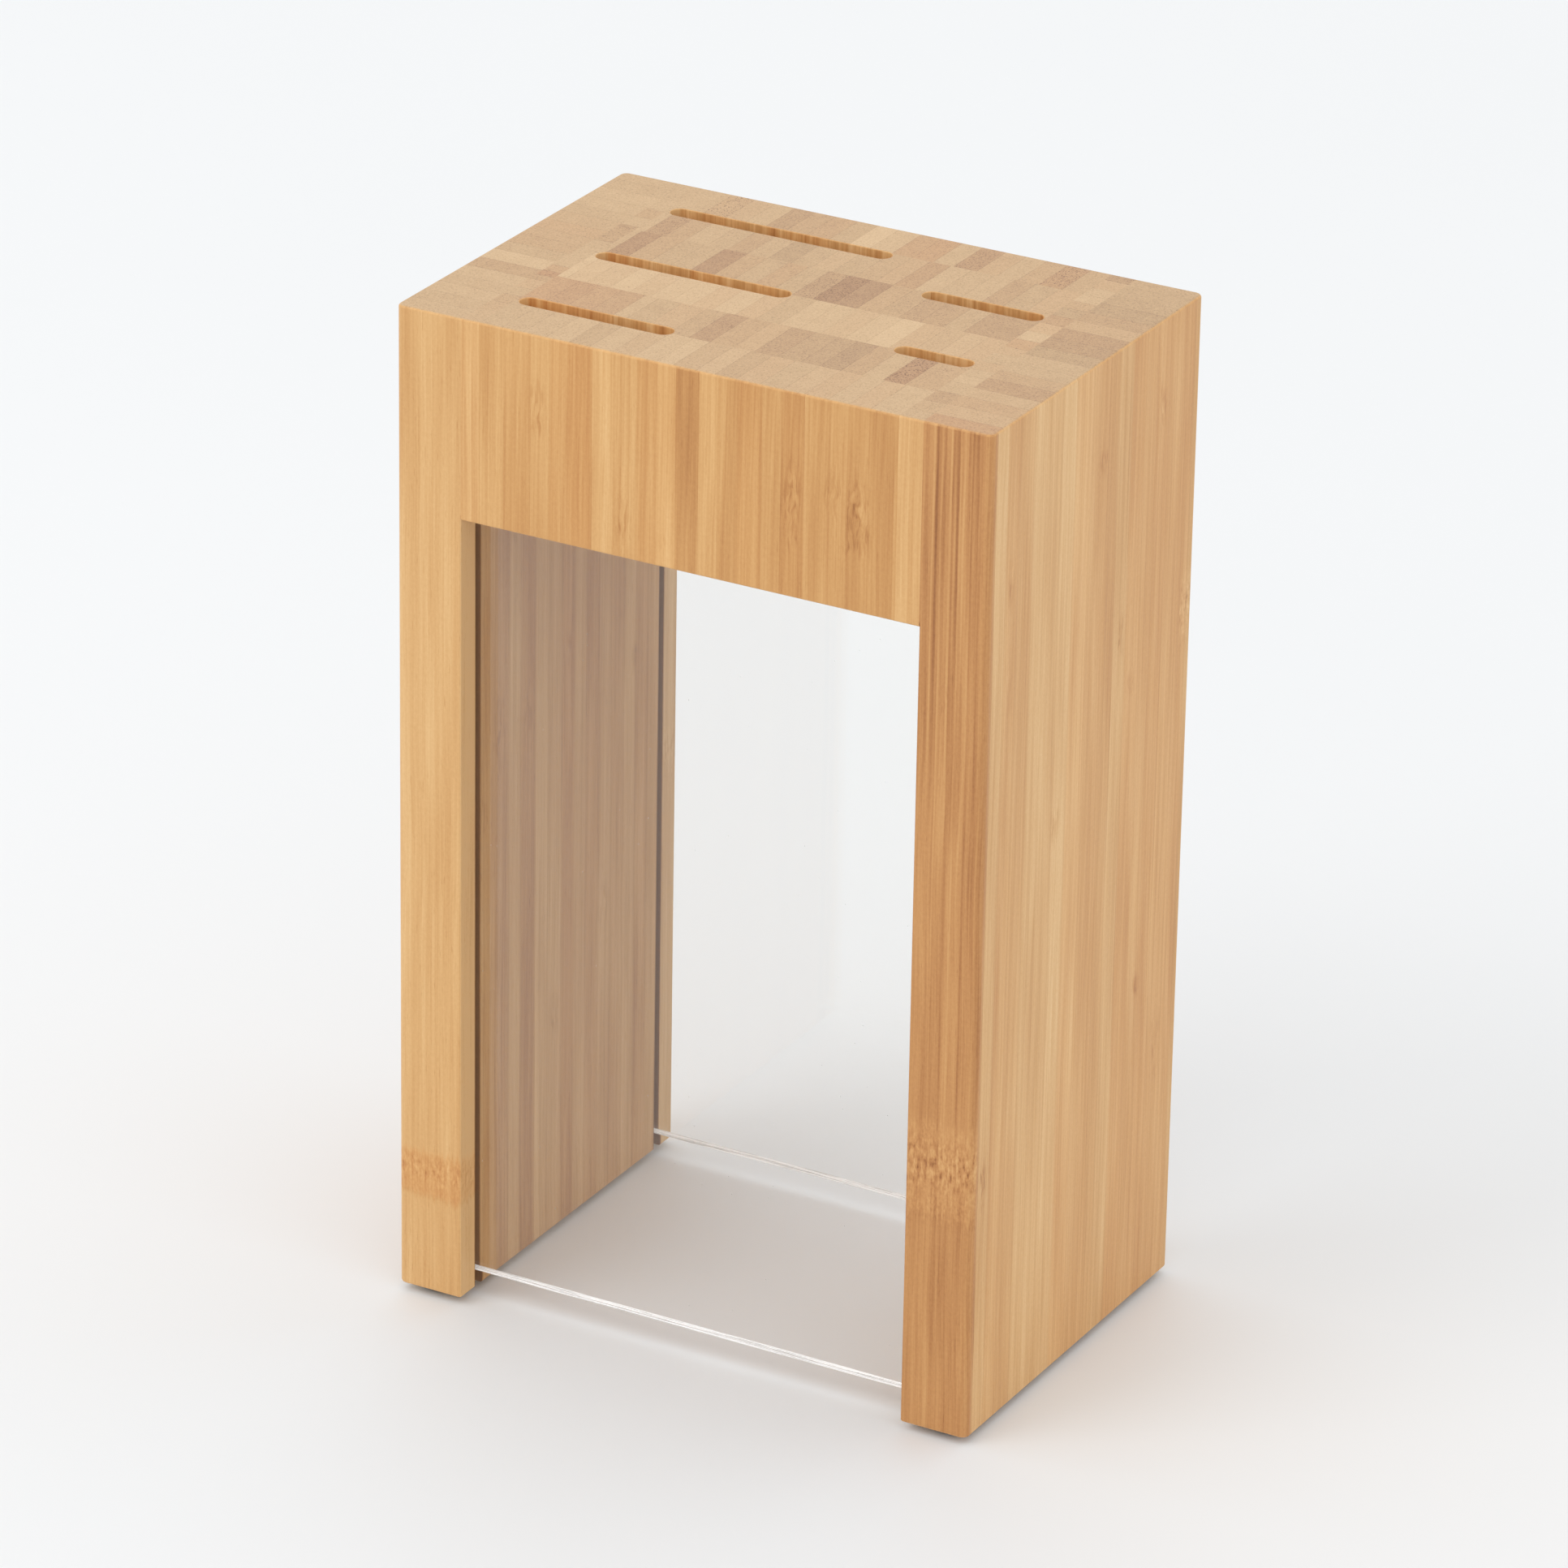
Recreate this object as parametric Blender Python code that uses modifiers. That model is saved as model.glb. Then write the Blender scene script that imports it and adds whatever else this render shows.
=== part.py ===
"""Free-standing countertop knife block.

Two full-height bamboo side boards carry a slotted end-grain header between
them.  Two clear acrylic panels close the front and the rear below the header;
each one rides in a pair of grooves in the side boards and slides out downwards.
Four low rubber feet lift the boards off the counter.

Frame: +Z up, +X to the right along the front, +Y from the front to the rear.
Origin at the centre of the footprint, on the surface the block stands on.
All dimensions below are in millimetres and are converted once, by MM.
"""
import bpy
import bmesh
from math import pi, cos, sin
from mathutils import Matrix

MM = 0.001

# ---------------------------------------------------------------- dimensions
WIDTH = 160.0            # over the two side boards
DEPTH = 107.0            # front face to rear face
BOARD_H = 260.0          # height of the side boards
FOOT_H = 2.0             # boards stand this far above the counter
BOARD_T = 18.0           # side board thickness
HEADER_H = 51.5          # height of the slotted header
GAP = 0.3                # glue line or free gap between neighbouring pieces

OUTER_R = 2.0            # rounding of the four tall outer corners
EASE_R = 0.7             # easing of every other outside edge

# header, from the front to the rear: six boards glued face to face
CORE_JOINTS = (17.4, 36.0, 54.5, 72.9, 91.3)     # distance from the front face
SPACER_LEFT_T = 5.0      # thin strip between left side board and core
SPACER_RIGHT_T = 6.4     # thin strip between right side board and core

# knife slots: name, left end, right end, centre distance from the front face
SLOT_W = 5.0
SLOTS = (
    ("slot_front_left", 23.6, 65.2, 18.2),
    ("slot_middle_left", 23.6, 76.7, 53.9),
    ("slot_rear_left", 23.8, 84.7, 89.3),
    ("slot_front_right", 114.6, 135.1, 36.8),
    ("slot_rear_right", 103.0, 135.1, 71.7),
)

# acrylic panels and their grooves
PANEL_T = 3.0
GROOVE_W = 3.5
GROOVE_DEPTH = 5.0
GROOVE_SETBACK = 6.85    # outer face of the board to the near side of the groove
GROOVE_OVERRUN = 3.0     # the groove ends this far behind the header's end face
PANEL_LIFT = 4.5         # panel's lower edge above the boards' lower edge

# feet
FOOT_R = 4.75
FOOT_INSET_X = 8.0       # foot centre from the board's outer face
FOOT_INSET_Y = 7.8       # foot centre from the front or rear face
FOOT_EDGE_R = 0.4

# ------------------------------------------------------------ derived levels
Z0 = FOOT_H                          # lower edge of the boards
Z1 = FOOT_H + BOARD_H                # top face
ZH = Z1 - HEADER_H                   # underside of the header
XL = -WIDTH / 2.0                    # outer face of the left board
YF = -DEPTH / 2.0                    # front face


# ------------------------------------------------------------------- helpers
def clear_scene():
    for ob in list(bpy.data.objects):
        bpy.data.objects.remove(ob, do_unlink=True)
    for coll in list(bpy.data.collections):
        bpy.data.collections.remove(coll)


def make_collection(name):
    coll = bpy.data.collections.new(name)
    bpy.context.scene.collection.children.link(coll)
    return coll


def make_material(name, colour, roughness, metallic=0.0, alpha=1.0):
    mat = bpy.data.materials.new(name)
    mat.use_nodes = True
    bsdf = mat.node_tree.nodes["Principled BSDF"]
    bsdf.inputs["Base Color"].default_value = (*colour, 1.0)
    bsdf.inputs["Roughness"].default_value = roughness
    bsdf.inputs["Metallic"].default_value = metallic
    bsdf.inputs["Alpha"].default_value = alpha
    return mat


def adopt(ob, name, coll, mat=None):
    ob.name = name
    ob.data.name = name
    for c in list(ob.users_collection):
        c.objects.unlink(ob)
    coll.objects.link(ob)
    if mat is not None:
        ob.data.materials.clear()
        ob.data.materials.append(mat)
    return ob


def box(name, lo, hi, coll, mat=None):
    """Box between two corners, origin at its centre, scale applied."""
    size = [(b - a) * MM for a, b in zip(lo, hi)]
    centre = [(a + b) * 0.5 * MM for a, b in zip(lo, hi)]
    bpy.ops.mesh.primitive_cube_add(size=1.0, location=centre)
    ob = bpy.context.object
    ob.data.transform(Matrix.Diagonal((*size, 1.0)))
    return adopt(ob, name, coll, mat)


def ease_edges(ob, width, pick, segments=3):
    """Bevel modifier on the edges that pick(midpoint, direction) weights."""
    mesh = ob.data
    attr = mesh.attributes.get("bevel_weight_edge")
    if attr is None:
        attr = mesh.attributes.new("bevel_weight_edge", "FLOAT", "EDGE")
    for e in mesh.edges:
        a = mesh.vertices[e.vertices[0]].co
        b = mesh.vertices[e.vertices[1]].co
        attr.data[e.index].value = pick((a + b) * 0.5 + ob.location, (b - a).normalized())
    mod = ob.modifiers.new("ease", "BEVEL")
    mod.width = width * MM
    mod.segments = segments
    mod.limit_method = "WEIGHT"
    mod.use_clamp_overlap = True
    return mod


def cut(ob, cutter):
    mod = ob.modifiers.new(cutter.name, "BOOLEAN")
    mod.operation = "DIFFERENCE"
    mod.solver = "EXACT"
    mod.object = cutter
    return mod


def hide_cutter(ob):
    ob.hide_render = True
    ob.display_type = "WIRE"
    return ob


# ---------------------------------------------------------------- the pieces
clear_scene()
parts = make_collection("knife_block")
cutters = make_collection("cutters")

m_board = make_material("bamboo_side_board", (0.64, 0.39, 0.18), 0.42)
m_core = make_material("bamboo_core_board", (0.66, 0.42, 0.20), 0.42)
m_spacer = make_material("bamboo_spacer", (0.62, 0.38, 0.18), 0.42)
m_acrylic = make_material("clear_acrylic", (0.93, 0.95, 0.95), 0.04, alpha=0.25)
m_rubber = make_material("black_rubber", (0.02, 0.02, 0.02), 0.75)


def near(a, b, tol=0.05):
    return abs(a / MM - b) < tol


# Cutters for the panel grooves.  A groove is open at the bottom of the board
# and ends in a round behind the header's end face, where a cutter stopped.
def groove_cutter(name, side, y_lo):
    x_mouth = side * (WIDTH / 2.0 - BOARD_T)
    x_deep = side * (WIDTH / 2.0 - BOARD_T + GROOVE_DEPTH)
    xs = sorted((x_mouth - side * 2.0, x_deep))
    c = box(name, (xs[0], y_lo, Z0 - 5.0), (xs[1], y_lo + GROOVE_W, ZH + GROOVE_OVERRUN), cutters)
    top = ZH + GROOVE_OVERRUN
    ease_edges(c, GROOVE_W * 0.5 - 0.01,
               lambda m, d: 1.0 if near(m.z, top) and abs(d.x) > 0.9 else 0.0, segments=6)
    return hide_cutter(c)


groove_front_y = YF + GROOVE_SETBACK
groove_rear_y = -YF - GROOVE_SETBACK - GROOVE_W


def side_board(name, side):
    x_out = side * WIDTH / 2.0
    x_in = side * (WIDTH / 2.0 - BOARD_T)
    xs = sorted((x_out, x_in))
    ob = box(name, (xs[0], YF, Z0), (xs[1], -YF, Z1), parts, m_board)

    def weight(m, d):
        if abs(d.z) > 0.9:                       # upright edges
            return 1.0 if near(m.x, x_out) else 0.0
        if near(m.x, x_in):                      # along the header joint and the groove mouths
            return 0.0
        return EASE_R / OUTER_R
    ease_edges(ob, OUTER_R, weight, segments=4)
    cut(ob, groove_cutter("groove_front_" + name, side, groove_front_y))
    cut(ob, groove_cutter("groove_rear_" + name, side, groove_rear_y))
    return ob


left_board = side_board("left_side_board", -1)
right_board = side_board("right_side_board", 1)

# Slot cutters: straight prisms with round ends, right through the header.
slot_cutters = {}
for slot_name, xa, xb, yc in SLOTS:
    c = box(slot_name,
            (XL + xa, YF + yc - SLOT_W / 2.0, ZH - 5.0),
            (XL + xb, YF + yc + SLOT_W / 2.0, Z1 + 5.0), cutters)
    ease_edges(c, SLOT_W * 0.5 - 0.01, lambda m, d: 1.0 if abs(d.z) > 0.9 else 0.0, segments=6)
    slot_cutters[slot_name] = (hide_cutter(c), yc)

# Header core: six boards glued face to face; every slot is routed across a
# glue line, so each board carries its own share of the slots.
core_x0 = XL + BOARD_T + SPACER_LEFT_T
core_x1 = -XL - BOARD_T - SPACER_RIGHT_T
faces = (0.0,) + CORE_JOINTS + (DEPTH,)
core_boards = []
for i in range(len(faces) - 1):
    ya = YF + faces[i] + (GAP / 2.0 if i > 0 else 0.0)
    yb = YF + faces[i + 1] - (GAP / 2.0 if i < len(faces) - 2 else 0.0)
    ob = box("core_board_%d" % (i + 1), (core_x0 + GAP / 2.0, ya, ZH), (core_x1 - GAP / 2.0, yb, Z1),
             parts, m_core)
    if i in (0, len(faces) - 2):
        y_face = ya if i == 0 else yb
        ease_edges(ob, EASE_R, lambda m, d, y=y_face: 1.0 if near(m.y, y) and abs(d.x) > 0.9 else 0.0)
    for slot_name, (c, yc) in slot_cutters.items():
        if YF + yc + SLOT_W / 2.0 > ya and YF + yc - SLOT_W / 2.0 < yb:
            cut(ob, c)
    core_boards.append(ob)


# Thin spacer strips that close the ends of the core against the side boards.
def spacer(name, x0, x1):
    ob = box(name, (x0, YF, ZH), (x1, -YF, Z1), parts, m_spacer)
    ease_edges(ob, EASE_R, lambda m, d: 1.0 if abs(d.x) > 0.9 else 0.0)
    return ob


left_spacer = spacer("left_spacer_strip", XL + BOARD_T + GAP, core_x0 - GAP / 2.0)
right_spacer = spacer("right_spacer_strip", core_x1 + GAP / 2.0, -XL - BOARD_T - GAP)


# Clear panels, each on its own sliding empty: the slide is straight down.
def panel(name, y_lo):
    y0 = y_lo + (GROOVE_W - PANEL_T) / 2.0
    half = WIDTH / 2.0 - BOARD_T + GROOVE_DEPTH - GAP
    slide = bpy.data.objects.new(name + "_slide", None)
    slide.location = (0.0, (y0 + PANEL_T / 2.0) * MM, (Z0 + PANEL_LIFT) * MM)
    slide.empty_display_size = 0.02
    parts.objects.link(slide)
    ob = box(name, (-half, y0, Z0 + PANEL_LIFT), (half, y0 + PANEL_T, ZH - GAP), parts, m_acrylic)
    ease_edges(ob, 0.25, lambda m, d: 1.0, segments=2)
    ob.parent = slide
    ob.matrix_parent_inverse = Matrix.Translation(slide.location).inverted()
    return ob


front_panel = panel("front_panel", groove_front_y)
rear_panel = panel("rear_panel", groove_rear_y)


# Feet: low rubber discs, turned, with a small round on the lower rim.
def foot(name, x, y):
    height = FOOT_H - GAP
    rim = [(FOOT_R, height)]
    for k in range(5):
        a = pi / 2.0 * k / 4.0
        rim.append((FOOT_R - FOOT_EDGE_R + FOOT_EDGE_R * cos(a), FOOT_EDGE_R - FOOT_EDGE_R * sin(a)))
    profile = [(0.0, height)] + rim + [(0.0, 0.0)]
    mesh = bpy.data.meshes.new(name)
    bm = bmesh.new()
    vs = [bm.verts.new((r * MM, 0.0, z * MM)) for r, z in profile]
    for a, b in zip(vs[:-1], vs[1:]):
        bm.edges.new((a, b))
    bm.to_mesh(mesh)
    bm.free()
    ob = bpy.data.objects.new(name, mesh)
    ob.location = (x * MM, y * MM, 0.0)
    parts.objects.link(ob)
    mesh.materials.append(m_rubber)
    mod = ob.modifiers.new("turn", "SCREW")
    mod.axis = "Z"
    mod.angle = 2.0 * pi
    mod.steps = 40
    mod.render_steps = 40
    mod.use_merge_vertices = True
    mod.merge_threshold = 0.00002
    mod.use_smooth_shade = True
    return ob


fx = WIDTH / 2.0 - FOOT_INSET_X
fy = DEPTH / 2.0 - FOOT_INSET_Y
foot("foot_front_left", -fx, -fy)
foot("foot_front_right", fx, -fy)
foot("foot_rear_left", -fx, fy)
foot("foot_rear_right", fx, fy)

bpy.context.view_layer.update()
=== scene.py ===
"""Looks of the free-standing knife block: two bamboo side boards, a slotted end-grain
header laid up from six boards and two spacer strips, two clear acrylic panels and four
rubber feet.  Every piece is built here at the place that the CAD frame gives it."""

from math import radians, pi, sin, cos

import bpy
import bmesh
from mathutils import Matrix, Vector


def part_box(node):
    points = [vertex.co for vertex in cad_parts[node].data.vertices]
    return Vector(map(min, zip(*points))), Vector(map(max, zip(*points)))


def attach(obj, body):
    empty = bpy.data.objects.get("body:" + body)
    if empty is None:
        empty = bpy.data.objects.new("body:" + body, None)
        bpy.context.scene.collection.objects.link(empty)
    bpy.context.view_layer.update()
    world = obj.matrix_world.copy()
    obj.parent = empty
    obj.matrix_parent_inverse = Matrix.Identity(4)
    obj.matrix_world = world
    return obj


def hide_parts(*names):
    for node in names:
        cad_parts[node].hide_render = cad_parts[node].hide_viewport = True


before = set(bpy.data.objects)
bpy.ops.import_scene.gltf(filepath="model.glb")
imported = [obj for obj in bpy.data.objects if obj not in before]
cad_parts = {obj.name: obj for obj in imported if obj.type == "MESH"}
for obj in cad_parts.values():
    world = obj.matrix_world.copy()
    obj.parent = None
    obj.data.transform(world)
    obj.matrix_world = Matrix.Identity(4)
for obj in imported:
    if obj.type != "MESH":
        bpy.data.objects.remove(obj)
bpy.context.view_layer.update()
MM = 0.001
scene = bpy.context.scene
scene.view_settings.view_transform = "Standard"
scene.view_settings.look = "None"


def box_mm(node):
    """A CAD node's two corners, in millimetres."""
    lo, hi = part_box(node)
    return [c / MM for c in lo], [c / MM for c in hi]


# ------------------------------------------------------------------ camera
cam = bpy.data.cameras.new("camera")
cam.lens = 196.529
cam.sensor_width = 36.0
cam.dof.use_dof = False
cam.clip_start, cam.clip_end = 0.05, 60.0
camera = bpy.data.objects.new("camera", cam)
scene.collection.objects.link(camera)
camera.location = (0.9161, -1.66351, 0.98856)
camera.rotation_euler = (radians(65.813), radians(-0.8892), radians(29.3065))
scene.camera = camera


# ------------------------------------------------------- small node language
def lin(rgb):
    """sRGB 0-255 to scene-linear RGBA."""
    out = []
    for c in rgb:
        c = c / 255.0
        out.append(c / 12.92 if c <= 0.04045 else ((c + 0.055) / 1.055) ** 2.4)
    return (*out, 1.0)


class S:
    """A scalar in a node tree, so that patterns can be written as sums and products."""

    def __init__(self, g, s):
        self.g, self.s = g, s

    def __add__(self, o):
        return self.g.math("ADD", self, o)

    __radd__ = __add__

    def __sub__(self, o):
        return self.g.math("SUBTRACT", self, o)

    def __rsub__(self, o):
        return self.g.math("SUBTRACT", o, self)

    def __mul__(self, o):
        return self.g.math("MULTIPLY", self, o)

    __rmul__ = __mul__

    def abs(self):
        return self.g.math("ABSOLUTE", self)

    def max(self, o):
        return self.g.math("MAXIMUM", self, o)

    def min(self, o):
        return self.g.math("MINIMUM", self, o)

    def lt(self, o):
        return self.g.math("LESS_THAN", self, o)

    def gt(self, o):
        return self.g.math("GREATER_THAN", self, o)

    def step(self, a, b, smooth=True):
        """0 at a, 1 at b."""
        return self.g.remap(self, a, b, 0.0, 1.0, smooth)


class Graph:
    def __init__(self, name):
        self.mat = bpy.data.materials.new(name)
        self.mat.use_nodes = True
        self.nt = self.mat.node_tree
        self.nt.nodes.clear()
        self.out = self.nt.nodes.new("ShaderNodeOutputMaterial")

    def n(self, kind, **kw):
        node = self.nt.nodes.new(kind)
        for k, v in kw.items():
            setattr(node, k, v)
        return node

    def plug(self, sock, v):
        if isinstance(v, S):
            self.nt.links.new(v.s, sock)
        elif isinstance(v, bpy.types.NodeSocket):
            self.nt.links.new(v, sock)
        else:
            sock.default_value = v

    def math(self, op, *args):
        node = self.n("ShaderNodeMath", operation=op)
        for sock, v in zip(node.inputs, args):
            self.plug(sock, v)
        return S(self, node.outputs[0])

    def remap(self, v, a, b, c, d, smooth=True):
        node = self.n("ShaderNodeMapRange")
        node.interpolation_type = "SMOOTHSTEP" if smooth else "LINEAR"
        node.clamp = True
        for key, x in (("Value", v), ("From Min", a), ("From Max", b), ("To Min", c), ("To Max", d)):
            self.plug(node.inputs[key], x)
        return S(self, node.outputs["Result"])

    def vec(self, x, y, z):
        node = self.n("ShaderNodeCombineXYZ")
        for sock, v in zip(node.inputs, (x, y, z)):
            self.plug(sock, v)
        return node.outputs[0]

    def vmath(self, op, a, b=None):
        node = self.n("ShaderNodeVectorMath", operation=op)
        self.plug(node.inputs[0], a)
        if b is not None:
            self.plug(node.inputs[1], b)
        return node

    def split(self, v):
        node = self.n("ShaderNodeSeparateXYZ")
        self.plug(node.inputs[0], v)
        return [S(self, o) for o in node.outputs]

    def noise(self, v, scale=1.0, detail=2.0, rough=0.5, distortion=0.0):
        node = self.n("ShaderNodeTexNoise")
        self.plug(node.inputs["Vector"], v)
        self.plug(node.inputs["Scale"], scale)
        self.plug(node.inputs["Detail"], detail)
        self.plug(node.inputs["Roughness"], rough)
        self.plug(node.inputs["Distortion"], distortion)
        return S(self, node.outputs[0])

    def cells(self, v, scale=1.0, random=1.0):
        node = self.n("ShaderNodeTexVoronoi")
        node.feature = "F1"
        self.plug(node.inputs["Vector"], v)
        self.plug(node.inputs["Scale"], scale)
        self.plug(node.inputs["Randomness"], random)
        return S(self, node.outputs["Distance"])

    def ramp(self, fac, stops, interp="LINEAR"):
        """stops: (position, rgba).  Gives (colour socket, alpha as a scalar)."""
        node = self.n("ShaderNodeValToRGB")
        r = node.color_ramp
        r.interpolation = interp
        while len(r.elements) < len(stops):
            r.elements.new(1.0)
        for e, (p, c) in zip(r.elements, sorted(stops, key=lambda s: s[0])):
            e.position = p
        for e, (p, c) in zip(r.elements, sorted(stops, key=lambda s: s[0])):
            e.color = c
        self.plug(node.inputs[0], fac)
        return node.outputs[0], S(self, node.outputs[1])

    def mix(self, fac, a, b, blend="MIX"):
        node = self.n("ShaderNodeMix", data_type="RGBA", blend_type=blend)
        self.plug(node.inputs[0], fac)
        self.plug(node.inputs[6], a)
        self.plug(node.inputs[7], b)
        return node.outputs[2]

    def rgb(self, colour):
        node = self.n("ShaderNodeSeparateColor")
        self.plug(node.inputs[0], colour)
        return [S(self, o) for o in node.outputs]


# ------------------------------------------------------------------- bamboo
# Darkness 0 .. 1.5 along each palette.
SIDE_PALETTE = (
    (0.00, (234, 193, 137)), (0.25, (223, 177, 119)), (0.50, (211, 161, 103)),
    (0.75, (199, 146, 90)), (1.00, (181, 127, 75)), (1.25, (158, 106, 60)), (1.50, (130, 84, 47)),
)
END_PALETTE = (
    (0.00, (224, 193, 152)), (0.25, (213, 181, 141)), (0.50, (200, 167, 128)),
    (0.75, (182, 149, 115)), (1.00, (158, 127, 98)), (1.50, (114, 88, 66)),
)


def strip_stops(strips, lo, hi):
    """(start, darkness, pink[, speckle]) runs to constant colour-ramp stops; blue carries
    an alternating mark that finds the glue lines, alpha the end-grain speckle."""
    stops = []
    for i, s in enumerate(strips):
        start, dark, pink = s[0], s[1], s[2] if len(s) > 2 else 0.0
        speck = s[3] if len(s) > 3 else 0.25
        stops.append((min(1.0, max(0.0, (start - lo) / (hi - lo))), (dark / 1.5, pink, float(i % 2), speck)))
    stops[0] = (0.0, stops[0][1])
    return stops


def read_strips(g, u, strips, lo, hi, half=0.2):
    """Darkness, pink, glue line and speckle of the strip at u, with soft borders."""
    reads = []
    for off in (-half, half):
        fac = g.remap(u + off, lo, hi, 0.0, 1.0, False)
        colour, alpha = g.ramp(fac, strip_stops(strips, lo, hi), "CONSTANT")
        reads.append([*g.rgb(colour), alpha])
    a, b = reads
    dark = (a[0] + b[0]) * 0.75
    pink = (a[1] + b[1]) * 0.5
    seam = (a[2] - b[2]).abs()
    return dark, pink, seam, b[3], a[0] * 37.0 + a[2] * 11.0 + a[1] * 5.0


def bamboo(name, axis, lo, hi, side, top, knots=(), bands=(), seed=0.0, streak=1.0,
           lines=(), inner_painted_shade=0.0, tint=(1.0, 1.0, 1.0), slot_walls=False, grooves=False, dashes=0.14, even=0.85):
    """Laminated bamboo as a solid texture.

    axis   strips are counted along this axis, in mm from the block's left or front face
    side   strips seen on the long-grain faces; top: the same board's end grain
    knots  (place along axis, depth below the top, half width, half height, strength)
    bands  (from, to, depth, half height, strength, change of tone, redness)
    lines  (place across the front strip, width, strength, from depth, to depth)
    """
    g = Graph(name)
    co = g.n("ShaderNodeTexCoord").outputs["Object"]
    mm = g.vmath("MULTIPLY_ADD", co, (1000.0, 1000.0, 1000.0))
    mm.inputs[2].default_value = (80.0, 53.5, 0.0)
    x, y, z = g.split(mm.outputs[0])
    depth = 262.0 - z
    u = x if axis == "X" else y
    v = y if axis == "X" else x
    nx, ny, nz = g.split(g.n("ShaderNodeNewGeometry").outputs["True Normal"])
    end = nz.abs().step(0.62, 0.9)

    # knots and node bands
    soft = g.noise(g.vec(x, y, z * 0.5), 0.34, 1.0, 0.5)
    knot = None
    here = g.vec(u, depth, 0.0)
    for ku, kh, a, b, s in knots:
        rel = g.vmath("MULTIPLY", g.vmath("SUBTRACT", here, (ku, kh, 0.0)).outputs[0], (1.0 / a, 1.0 / b, 0.0))
        away = S(g, g.vmath("LENGTH", rel.outputs[0]).outputs["Value"]) + (soft - 0.5) * 1.0
        m = away.step(1.10, 0.15) * s
        knot = m if knot is None else knot.max(m)
    band = blush = None
    for a0, a1, kh, b, s, shift, warm in bands:
        teeth = g.noise(g.vec(x * 1.15, y * 1.15, z * 0.10), 1.0, 2.0, 0.65) - 0.5
        t = (depth - kh) * (1.0 / b) + teeth * 1.15
        reach = u.gt(a0) * u.lt(a1) * s
        zone = t.abs().step(1.15, 0.70) * reach
        stroke = g.noise(g.vec(x * 1.05 + teeth * 1.5, y * 1.05, z * 0.36), 1.0, 2.0, 0.55) - 0.5
        heart = (t + 0.18).abs().step(0.62, 0.12)
        edge_top = (t + 0.92).abs().step(0.22, 0.0)
        edge_low = (t - 0.95).abs().step(0.20, 0.0)
        speckle = g.noise(g.vec(x * 1.6, y * 1.6, z * 0.9), 1.0, 1.0) - 0.5
        blush = zone * warm if blush is None else blush + zone * warm
        mark = (zone * (stroke * (heart * 1.5 + 0.6) + speckle * 0.55 + shift)
                + reach * (edge_low * 0.10 - edge_top * 0.08) + reach * heart * stroke.step(0.08, 0.22) * 0.20)
        band = mark if band is None else band + mark
    if knot is None:
        knot = soft * 0.0
    if band is None:
        band = blush = soft * 0.0

    # the strips and their borders
    wob = (g.noise(g.vec(x * 0.05, y * 0.05, z * 0.03), 1.0, 1.0) - 0.5) * 0.5
    tone, pink, seam, _, sid = read_strips(g, u + wob, side, lo, hi, 0.32)
    tone = (tone - 0.46) * even + 0.46
    # fibres swirl around the knots and run straight elsewhere
    swirl = g.noise(g.vec(x * 0.8, y * 0.8, z * 0.45), 0.42, 1.0, 0.5) - 0.5
    swirl2 = g.noise(g.vec(x * 0.8, y * 0.8 + 31.0, z * 0.45), 0.34, 0.0, 0.5) - 0.5
    lean = (g.noise(g.vec(x * 0.02, y * 0.02, z * 0.012), 1.0, 1.0) - 0.5) * 2.4
    fx = x + knot * swirl * 3.2 + lean
    fy = y + knot * swirl2 * 3.2 + lean
    fz = z + knot * swirl2 * 4.0 + sid + seed
    fine = g.noise(g.vec(fx * 2.1, fy * 2.1, fz * 0.030), 1.0, 2.0, 0.55)
    mid = g.noise(g.vec(fx * 0.75, fy * 0.75, fz * 0.011), 1.0, 2.0, 0.6)
    broad = g.noise(g.vec(fx * 0.16, fy * 0.16, fz * 0.014 + 5.0), 1.0, 1.0)
    dash = g.noise(g.vec(fx * 3.0, fy * 3.0, fz * 0.22), 1.0, 1.0).step(0.62, 0.80)
    pore = g.noise(g.vec(fx * 1.7, fy * 1.7, fz * 0.016 + 9.0), 1.0, 0.0).step(0.60, 0.74)
    curl = g.noise(g.vec(fx * 0.70, fy * 0.70, fz * 0.13), 1.0, 1.0, 0.5) - 0.5
    flame = g.noise(g.vec(fx * 1.35, fy * 1.35, fz * 0.16 + 3.0), 1.0, 1.0, 0.5).step(0.48, 0.66)

    fuzz = g.noise(g.vec(x * 1.5, y * 1.5, z * 0.9 + seed), 1.0, 2.0, 0.7) - 0.5
    d = (tone + fuzz * 0.30 + (fine - 0.5) * (0.48 * streak) + (mid - 0.5) * (0.72 * streak) + (broad - 0.5) * 0.62
         + dash * dashes + pore * (0.10 * streak) + seam * 0.10 + knot * (curl * 1.1 + flame * 0.40 + 0.12)
         + band)
    for lu, lw, ls, h0, h1 in lines:
        line = ((v - lu) + (mid - 0.5) * 0.6).abs().step(lw, lw * 0.2)
        d = d + line * depth.step(h1, h0) * u.lt(6.0) * ls
    # slot walls: routing burn and scorch streaks, the walls a little lighter overall, and painted light on the round
    # slot ends that face left and right, drawn much lighter
    if slot_walls:
        wall = y.gt(0.35) * y.lt(106.65) * (1.0 - end)
        burn = g.noise(g.vec(x * 0.50, y * 0.1, z * 0.02 + seed), 1.0, 3.0, 0.7)
        scorch = g.noise(g.vec(x * 0.23, y * 0.1, z * 0.015 + seed + 7.0), 1.0, 1.0).step(0.56, 0.66)
        d = d + wall * ((burn - 0.46) * 1.9 + scorch * 0.28 - 0.22 - nx.abs().step(0.45, 0.9) * 0.75)
    # painted shade: on the inner face, the wood from the front groove back is drawn darker and with more contrast, and
    # the strip in front of the front groove is drawn lighter, which is painted light
    if inner_painted_shade:
        facing = nx.abs().step(0.5, 0.8) * (x.gt(17.0) * x.lt(143.0))
        shaded = facing * u.gt(6.9)
        d = d + shaded * (inner_painted_shade + (tone - 0.46) * 0.5) - facing * u.lt(6.9) * 0.30
    if grooves:
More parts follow.
